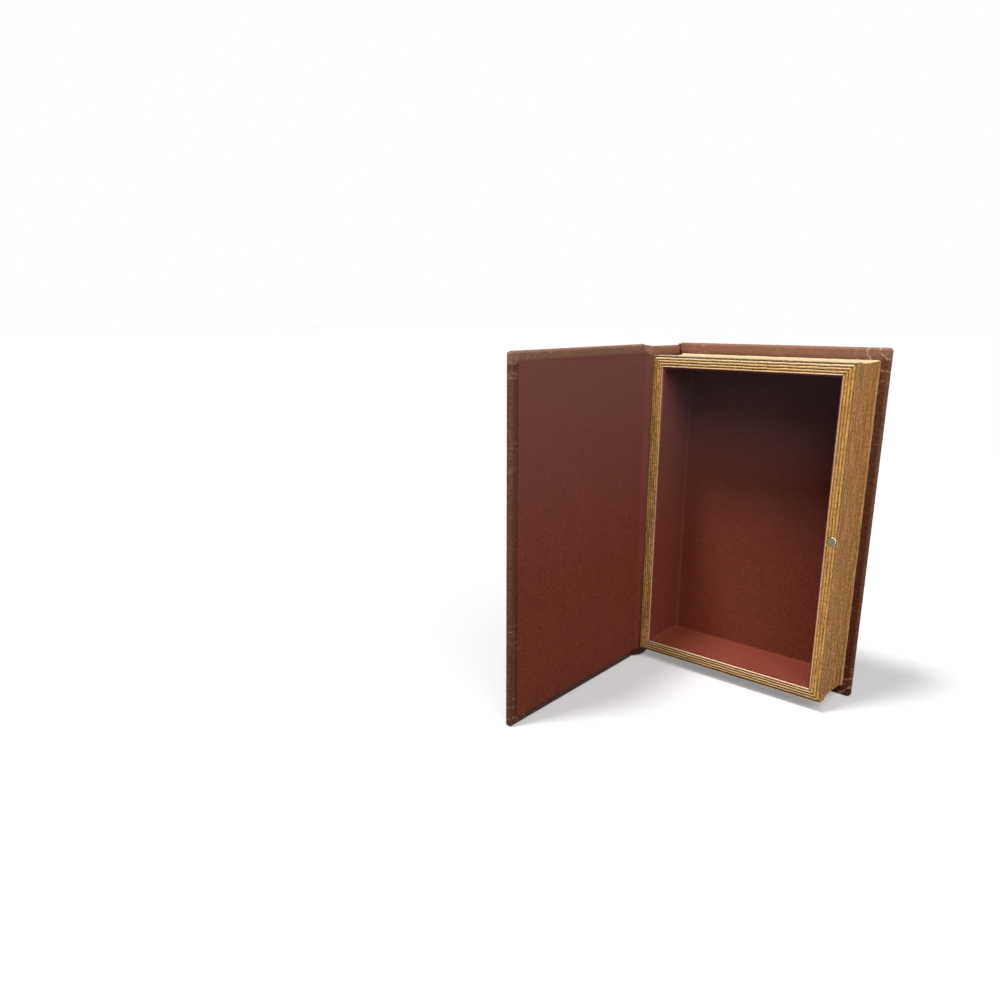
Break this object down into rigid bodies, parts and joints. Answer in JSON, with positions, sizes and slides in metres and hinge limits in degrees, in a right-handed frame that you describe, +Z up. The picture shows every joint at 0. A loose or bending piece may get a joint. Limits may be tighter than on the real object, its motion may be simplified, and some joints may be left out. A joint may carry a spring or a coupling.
{
  "type": "book diversion safe",
  "caption": "Hollow box made like a hardback book, with wrapped boards, a lined tray of gilt mouldings and a hinged front cover held by a disc magnet.",
  "frame": {"origin": "middle of the back cover's lower edge, on the surface that the book stands on", "axes": "+Z up along the book's height, +X along the open face of the box from the spine to the fore-edge, +Y from the open face to the back cover"},
  "size_m": [0.1679, 0.2129, 0.254],
  "materials": {
    "leather": "brown leather cloth, semi-gloss, creased",
    "flock": "burgundy flocked paper on card, matt",
    "gilt_wood": "gilt and glazed, ribbed face and streaked page edges",
    "greyboard": "grey binder's board, raw",
    "card": "plain card",
    "nickel": "nickel plated, satin"
  },
  "bodies": {
    "case": {"back_board": "greyboard", "back_cover_leather": "leather", "back_infill_card": "card", "spine_board": "greyboard", "spine_leather": "leather", "spine_infill_card": "card", "front_joint_leather": "leather", "back_joint_leather": "leather", "head_moulding": "gilt_wood", "tail_moulding": "gilt_wood", "spine_moulding": "gilt_wood", "fore_edge_moulding": "gilt_wood", "back_lining": "flock", "head_lining": "flock", "tail_lining": "flock", "spine_side_lining": "flock", "fore_edge_lining": "flock", "catch_magnet": "nickel"},
    "front_cover": {"front_board": "greyboard", "front_cover_leather": "leather", "front_infill_card": "card", "front_liner": "flock", "keeper_disc": "nickel"}
  },
  "joints": [
    {"name": "front_cover_hinge", "type": "hinge", "parent": "case", "child": "front_cover", "pos_m": [-0.0833, -0.0465, 0.127], "axis": [0, 0, -1], "range_deg": [-86.4, 93.6]}
  ]
}
